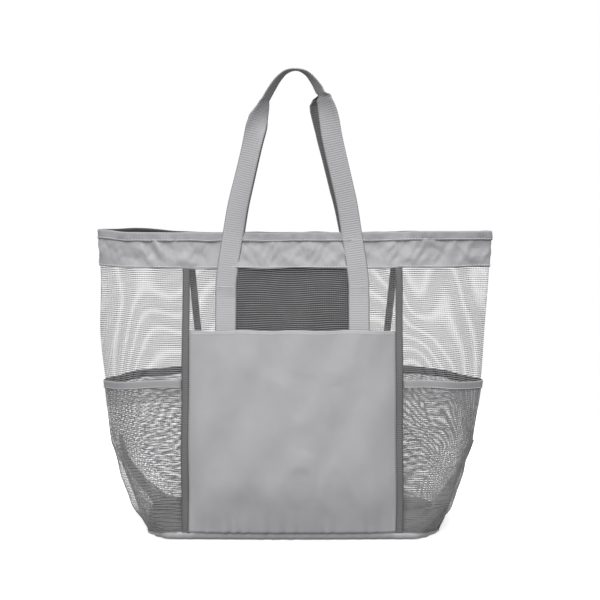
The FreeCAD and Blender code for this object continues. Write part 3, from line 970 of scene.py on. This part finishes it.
# How far in the back handle's right leg hangs: height and distance
BACK_LEG_SHIFT = [
    (0.34, 0.0), (0.38, 0.0022), (0.41, 0.0038), (0.45, 0.0043), (0.48, 0.0058), (0.505, 0.0092),
    (0.512, 0.0092), (0.524, 0.0),
]
BACK_LEFT_BULGE = 0.0028
BACK_ARCH_RISE = 0.0022
WEBBING_HALF_THICKNESS = 0.0009
RIB_HEIGHT = 0.00013
WEBBING_STEP = RIB_PITCH / 6


def sewn_stations():
    """The strap's flat end on the wall, from under the pocket's hem up to the stitch line."""
    z = np.linspace(STRAP_BOTTOM, HINGE - 0.012, 6)
    points = on_wall(STRAP_X + 0 * z, z, STRAP_OUT + 0 * z)
    return [(STRAP_X, point[1], point[2], 0) for point in points]


def smooth_curve(stations, step):
    """Points evenly spaced on a smooth curve through the stations, with their twist."""
    stations = np.array(stations, float)
    gaps = np.linalg.norm(np.diff(stations[:, :3], axis=0), axis=1)
    knots = np.concatenate([[0.0], np.cumsum(gaps)])
    slopes = np.gradient(stations, knots, axis=0)
    fine = np.arange(0.0, knots[-1], step)
    index = np.clip(np.searchsorted(knots, fine, side="right") - 1, 0, len(gaps) - 1)
    t = ((fine - knots[index]) / gaps[index])[:, None]
    width = gaps[index][:, None]
    a, b = stations[index], stations[index + 1]
    sa, sb = slopes[index] * width, slopes[index + 1] * width
    return (a * (1 + 2 * t) * (1 - t) ** 2 + sa * t * (1 - t) ** 2
            + b * t * t * (3 - 2 * t) + sb * t * t * (t - 1)), fine


def make_handle(name, behind):
    """One length of ribbed webbing: sewn ends, legs and the twisted arch. The back one hangs behind the
    front one, with its right leg a little further in."""
    right_end = sewn_stations()
    left_end = [(-x, y, z, twist) for x, y, z, twist in reversed(right_end)]
    route, run = smooth_curve(right_end + HANDLE_ROUTE + left_end, WEBBING_STEP)
    centres, twist = route[:, :3], np.radians(route[:, 3])[:, None]
    along = np.gradient(centres, axis=0)
    along /= np.linalg.norm(along, axis=1, keepdims=True)
    front = np.array([0.0, -1.0, 0.0]) - along * (along @ np.array([0.0, -1.0, 0.0]))[:, None]
    front /= np.linalg.norm(front, axis=1, keepdims=True)
    flat = np.cross(along, front)
    deep = np.cross(along, flat)
    across = flat * np.cos(twist) - deep * np.sin(twist)
    face = np.cross(across, along)
    columns = 15
    position = np.linspace(-1.0, 1.0, columns)
    edge = np.sqrt(np.clip(1 - np.abs(position) ** 10, 0.0, 1.0))
    rib = RIB_HEIGHT * np.cos(2 * math.pi * run / RIB_PITCH)[:, None]
    loops, cloth = [], []
    for sign in (1.0, -1.0):
        order = position if sign > 0 else position[::-1]
        lift = (WEBBING_HALF_THICKNESS + rib) * edge
        points = (centres[:, None] + across[:, None] * order[:, None] * (STRAP_WIDTH / 2)
                  + face[:, None] * (sign * lift)[..., None])
        loops.append(points)
        across_strap = order[None] * STRAP_WIDTH / 2
        # The sign marks the outer and the inner face; the inner face gets painted shade in webbing_cloth
        cloth.append(np.stack(np.broadcast_arrays(across_strap, run[:, None], sign * 0.001), -1))
    points = np.concatenate([loops[0], loops[1][:, 1:-1]], axis=1)
    cloth = np.concatenate([cloth[0], cloth[1][:, 1:-1]], axis=1)
    rows, around = points.shape[:2]
    faces = grid_faces(rows, around, wrap=True).tolist()
    faces.append(list(reversed(range(around))))
    faces.append([(rows - 1) * around + k for k in range(around)])
    points = points.reshape(-1, 3)
    if behind:
        faces = [face[::-1] for face in faces]
        points[:, 1] = -points[:, 1]
        height = points[:, 2]
        inward = np.interp(height, *zip(*BACK_LEG_SHIFT))
        outward = BACK_LEFT_BULGE * np.exp(-((height - 0.503) / 0.008) ** 2)
        points[:, 0] -= np.where(points[:, 0] > 0, inward * smooth_step(points[:, 0], 0.0, 0.02), outward)
        points[:, 2] += BACK_ARCH_RISE * smooth_step(height, 0.44, 0.54)
    return new_mesh(name, points, faces, cloth.reshape(-1, 3), materials=[webbing_cloth])


# ---- sewing

def make_stitches():
    girth = spaced(WHOLE_ROUND, 0.002)
    rim_z, band_z = HEM_BOTTOM + 0.0018 + 0 * girth, BAND_BOTTOM + 0.0012 + 0 * girth
    rim = [(girth, rim_z, band_out(girth, rim_z) + CLOTH_THICKNESS * 1.5 + 0.0007)]
    band = [(girth, band_z, band_out(girth, band_z) + CLOTH_THICKNESS / 2)]
    outline = []
    patch_z = np.linspace(patch_low.z - 0.001, patch_high.z, 20)
    for middle, turn in ((0.0, 1.0), (GIRTH / 2, -1.0)):
        for x in (patch_low.x, patch_high.x):
            q = middle + turn * x + 0 * patch_z
            outline.append((q, patch_z, band_out(q, patch_z) + CLOTH_THICKNESS / 2 - 0.0001))
    tape = []
    for seam in (FRONT_SEAM_Q, -FRONT_SEAM_Q, BACK_SEAM_Q, -BACK_SEAM_Q):
        z = np.arange(BASE_RIM + 0.002, BAND_BOTTOM, 0.003)
        for edge in (-1.0, 1.0):
            tape.append((seam + edge * (TAPE_WIDTH / 2 - 0.0012) + 0 * z, z, TAPE_OUT + 0.0005))
    pocket_q = np.linspace(-POCKET_EDGE + 0.001, POCKET_EDGE - 0.001, 120)
    pocket_z = POCKET_TOP - 0.0034 + 0 * pocket_q
    pocket = [(pocket_q, pocket_z, pocket_out(pocket_q, pocket_z) + CLOTH_THICKNESS / 2)]
    side = []
    for q_range in (RIGHT_POCKET_Q, LEFT_POCKET_Q):
        q = spaced(q_range, 0.002)
        z = side_pocket_top(side_share(q)) - (SIDE_POCKET_TOP - SIDE_BINDING_BOTTOM) + 0.0024
        side.append((q, z, side_pocket_out(q, z) + SIDE_BINDING_OUT + CLOTH_THICKNESS / 2))
    strap = []
    for middle, sign in ((0.0, 1.0), (0.0, -1.0), (GIRTH / 2, 1.0), (GIRTH / 2, -1.0)):
        q = middle + sign * STRAP_X + np.linspace(-0.5, 0.5, 12) * (STRAP_WIDTH - 0.003)
        strap.append((q, HINGE - 0.0014 + 0 * q, STRAP_OUT + WEBBING_HALF_THICKNESS + RIB_HEIGHT))
    return (stitches("rim_stitches", rim, thread, 0.0036, 0.0024, 0.00038),
            stitches("band_stitches", band, thread, 0.0036, 0.0025, 0.00042),
            stitches("patch_stitches", outline, nylon),
            stitches("tape_stitches", tape, dark_thread), stitches("pocket_stitches", pocket, thread),
            stitches("side_pocket_stitches", side, thread),
            stitches("strap_stitches", strap, thread, 0.0029, 0.0024, 0.00034))


# ---- staging

CAMERA_DISTANCE = 1.362
CAMERA_HEIGHT = 0.4464
CAMERA_TILT = 7.0
CAMERA_SIDE = 0.0091
LENS = 67.43


def make_camera():
    camera_data = bpy.data.cameras.new("camera")
    camera_data.lens = LENS
    camera_data.sensor_width = 36.0
    camera = bpy.data.objects.new("camera", camera_data)
    camera.location = (CAMERA_SIDE, -CAMERA_DISTANCE, CAMERA_HEIGHT)
    camera.rotation_euler = (math.radians(90.0 - CAMERA_TILT), 0.0, 0.0)
    bpy.context.scene.collection.objects.link(camera)
    bpy.context.scene.camera = camera


def area_light(name, place, aim, size, power):
    data = bpy.data.lights.new(name, "AREA")
    data.shape = "RECTANGLE"
    data.size, data.size_y = size
    data.energy = power
    light = bpy.data.objects.new(name, data)
    light.location = place
    direction = np.array(aim) - np.array(place)
    light.rotation_euler = (math.atan2(math.hypot(direction[0], direction[1]), -direction[2]), 0.0,
                            math.atan2(-direction[0], direction[1]))
    bpy.context.scene.collection.objects.link(light)


def make_world():
    """White to the camera. For light it is bright above and dim below, as over a pale table."""
    world = bpy.data.worlds.new("studio")
    world.use_nodes = True
    tree = world.node_tree
    background = tree.nodes["Background"]
    places = tree.nodes.new("ShaderNodeTexCoord")
    split = tree.nodes.new("ShaderNodeSeparateXYZ")
    tree.links.new(places.outputs["Generated"], split.inputs[0])
    upward = math_node(tree, "MULTIPLY_ADD", split.outputs[2], 0.5, 0.5)
    gradient = ramp(tree, upward, (0.24, 0.24, 0.24), (0.90, 0.90, 0.91), 0.35, 0.8)
    rays = tree.nodes.new("ShaderNodeLightPath")
    sky = mixed_colour(tree, rays.outputs["Is Camera Ray"], gradient, (1.0, 1.0, 1.0))
    tree.links.new(sky, background.inputs["Color"])
    bpy.context.scene.world = world


def make_floor():
    """A white table just round the bag. It gets more light than white needs, so only the shadow shows."""
    radius, count = 0.75, 64
    angles = 2 * math.pi * np.arange(count) / count
    points = np.stack([radius * np.cos(angles), radius * np.sin(angles), 0 * angles], -1)
    material, tree, shader = new_material("floor")
    settings = {"Base Color": (0.95, 0.95, 0.95, 1.0), "Roughness": 1.0, "Specular IOR Level": 0.0,
                "Emission Color": (1.0, 1.0, 1.0, 1.0), "Emission Strength": 0.45}
    for socket, value in settings.items():
        shader.inputs[socket].default_value = value
    floor = new_mesh("floor", points, [list(range(count))], materials=[material])
    floor.location.z = -0.0004
    floor.visible_diffuse = False
    floor.visible_glossy = False


def make_studio():
    bpy.context.scene.view_settings.view_transform = "Standard"
    make_world()
    make_floor()
    area_light("key", (-0.5, -2.3, 1.5), (0, 0, 0.25), (1.3, 1.0), 34.0)
    area_light("top", (0.2, -0.5, 2.2), (0, 0, 0.2), (1.6, 1.6), 30.0)


# ---- the bag

make_camera()
front_net, back_net, right_net, left_net, right_pocket_net, left_pocket_net = make_nets()
front_band, back_band = make_bands()
rim_binding = make_mouth_binding()
front_pocket = make_front_pocket()
inner_pocket = make_inner_pocket()
right_binding, left_binding = make_side_bindings()
tapes_made = make_tapes()
front_patch, back_patch = make_patches()
base_cloth = make_base()
base_binding = make_base_binding()
sewing = make_stitches()
front_handle = make_handle("front_handle_webbing", False)
back_handle = make_handle("back_handle_webbing", True)

STANDS_FOR = [
    (rim_binding, "mouth_binding", "nylon"), (front_pocket, "front_pocket_panel", "nylon"),
    (inner_pocket, "inner_pocket_panel", "dark_lining"), (base_cloth, "base_panel", "nylon"),
    (base_binding, "base_seam_binding", "dark_tape"),
]
for side, net_made, band, patch in (("front", front_net, front_band, front_patch),
                                    ("back", back_net, back_band, back_patch)):
    STANDS_FOR += [(net_made, side + "_center_mesh", "mesh"), (band, side + "_top_band", "nylon"),
                   (patch, side + "_closure_patch", "dark_lining")]
for side, net_made, pocket, binding in (("right", right_net, right_pocket_net, right_binding),
                                        ("left", left_net, left_pocket_net, left_binding)):
    STANDS_FOR += [(net_made, side + "_side_mesh", "mesh"), (pocket, side + "_side_pocket_mesh", "mesh"),
                   (binding, side + "_side_pocket_binding", "binding")]
for tape in tapes_made:
    STANDS_FOR.append((tape, tape.name.replace("_tape", "_seam_tape"), "dark_tape"))
for piece, node, slot in STANDS_FOR:
    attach(piece, "bag")
    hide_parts(node)
for piece in sewing:
    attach(piece, "bag")

for piece, end, side_name in ((front_handle, -1.0, "front"), (back_handle, 1.0, "back")):
    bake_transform(piece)
    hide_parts(side_name + "_handle", side_name + "_right_strap_end", side_name + "_left_strap_end")

make_studio()
